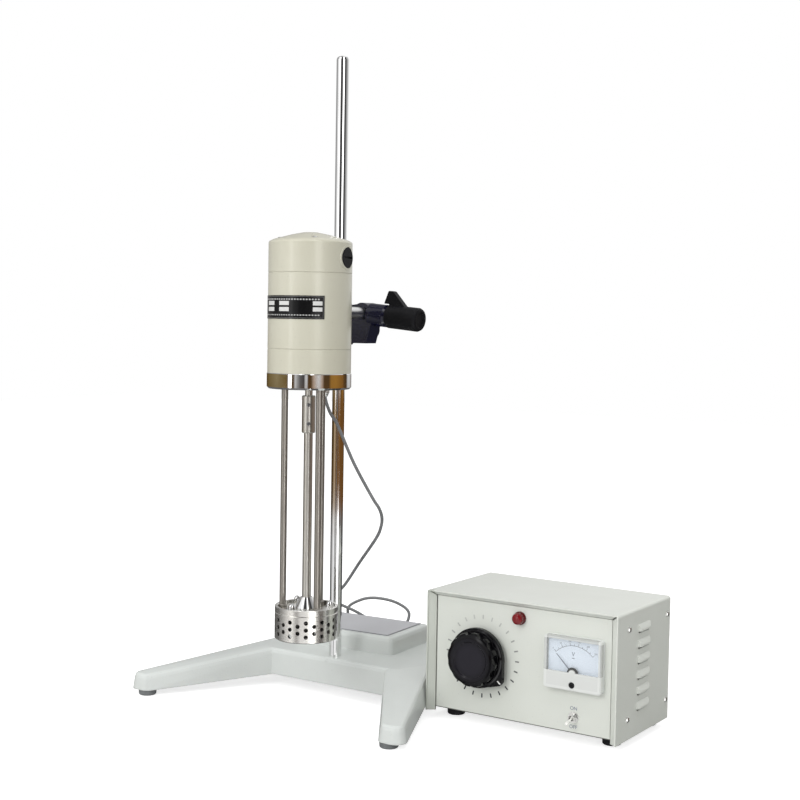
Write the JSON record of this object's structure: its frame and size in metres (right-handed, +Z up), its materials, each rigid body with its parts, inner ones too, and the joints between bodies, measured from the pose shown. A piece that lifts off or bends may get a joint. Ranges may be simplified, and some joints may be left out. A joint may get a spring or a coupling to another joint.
{
  "type": "laboratory homogenizer",
  "caption": "Bench shear homogenizer: a motor head lifts on a clamp stand and spins a rotor in a perforated stator on rods; a separate bench box sets its speed.",
  "frame": {"origin": "middle of the footprint of stand, motor and controller, on the bench", "axes": "+Z up along the column, -Y to the front, +X from the stand towards the controller"},
  "size_m": [0.547, 0.3361, 0.719],
  "materials": {
    "casting_paint": "semi-gloss enamel on cast iron",
    "rubber": "matt",
    "label": "matt film",
    "chrome": "polished plating",
    "steel": "ground",
    "clamp_paint": "gloss navy enamel",
    "bar": "turned",
    "grip": "fine moulded grain",
    "motor_paint": "semi-gloss enamel",
    "nameplate": "gloss black",
    "bakelite": "polished",
    "black_plastic": "matt",
    "meter_plastic": "moulded",
    "iron": "bare laminations",
    "copper": "enamelled copper",
    "brass": "turned",
    "carbon": "matt",
    "cord": "matt sheath",
    "panel_paint": "semi-gloss enamel on sheet steel",
    "lens": "translucent red",
    "meter_clear": "clear moulding",
    "dial": "printed card",
    "needle": "matt"
  },
  "bodies": {
    "stand": {"base_casting": "casting_paint", "base_feet": "rubber", "base_label": "label", "column": "chrome", "column_nut": "steel", "motor_cord": "cord", "controller_tray": "panel_paint", "controller_cover": "panel_paint", "front_panel": "panel_paint", "rear_panel": "panel_paint", "controller_feet": "rubber", "cover_screws": "chrome", "variac_core": "iron", "variac_winding": "copper", "pilot_lens": "lens", "pilot_body": "black_plastic", "meter_case": "meter_plastic", "meter_window": "meter_clear", "meter_dial": "dial", "toggle_body": "black_plastic", "toggle_nut": "chrome", "fuse_holder": "black_plastic", "rear_glands": "black_plastic"},
    "head": {"boss_head": "clamp_paint", "support_bar": "bar", "motor_cap": "motor_paint", "motor_body": "motor_paint", "motor_base": "motor_paint", "flange_ring": "chrome", "nameplate": "nameplate", "cap_screws": "steel", "brush_caps": "bakelite", "brush_holders": "brass", "carbon_brushes": "carbon", "field_core": "iron", "field_coils": "copper", "motor_bearings": "steel", "cord_gland_nut": "black_plastic", "support_rods": "steel", "stator_cover": "steel", "stator_cup": "steel", "shaft_hub": "chrome", "cover_nuts": "chrome"},
    "spindle": {"motor_shaft": "steel", "armature": "iron", "commutator": "copper", "cooling_fan": "black_plastic", "coupling": "steel", "coupling_screws": "iron", "work_shaft": "steel", "rotor": "steel", "rotor_nut": "steel"},
    "bar_clamp": {"bar_clamp": "grip"},
    "column_clamp": {"column_clamp": "grip"},
    "speed_knob": {"speed_knob": "bakelite", "variac_arm": "brass"},
    "meter_needle": {"meter_needle": "needle"},
    "meter_screw": {"meter_screw": "needle"},
    "toggle_lever": {"toggle_lever": "chrome"}
  },
  "joints": [
    {"name": "head_lift", "type": "slide", "parent": "stand", "child": "head", "axis": [0, 0, 1], "range_m": [-0.07, 0.27], "deforming": ["motor_cord"]},
    {"name": "spindle_spin", "type": "hinge", "parent": "head", "child": "spindle", "pos_m": [-0.0535, -0.09875, 0.2], "axis": [0, 0, 1], "continuous": true},
    {"name": "bar_clamp_turn", "type": "hinge", "parent": "head", "child": "bar_clamp", "pos_m": [-0.0535, 0.00325, 0.433], "axis": [0.9962, 0, -0.0872], "range_deg": [0, 360]},
    {"name": "column_clamp_turn", "type": "hinge", "parent": "head", "child": "column_clamp", "pos_m": [-0.0895, 0.04325, 0.415], "axis": [0, 1, 0], "range_deg": [0, 360]},
    {"name": "speed_turn", "type": "hinge", "parent": "stand", "child": "speed_knob", "pos_m": [0.1125, -0.01775, 0.0748], "axis": [0, 1, 0], "range_deg": [-268, 52]},
    {"name": "needle_swing", "type": "hinge", "parent": "stand", "child": "meter_needle", "pos_m": [0.2223, -0.01675, 0.073], "axis": [0, 1, 0], "range_deg": [0, 90], "stiffness_Nm_per_rad": 0.00005},
    {"name": "zero_turn", "type": "hinge", "parent": "stand", "child": "meter_screw", "pos_m": [0.2223, -0.01975, 0.0628], "axis": [0, 1, 0], "range_deg": [-30, 30]},
    {"name": "toggle_flip", "type": "hinge", "parent": "stand", "child": "toggle_lever", "pos_m": [0.2211, -0.01425, 0.0282], "axis": [-1, 0, 0], "range_deg": [0, 30]}
  ]
}
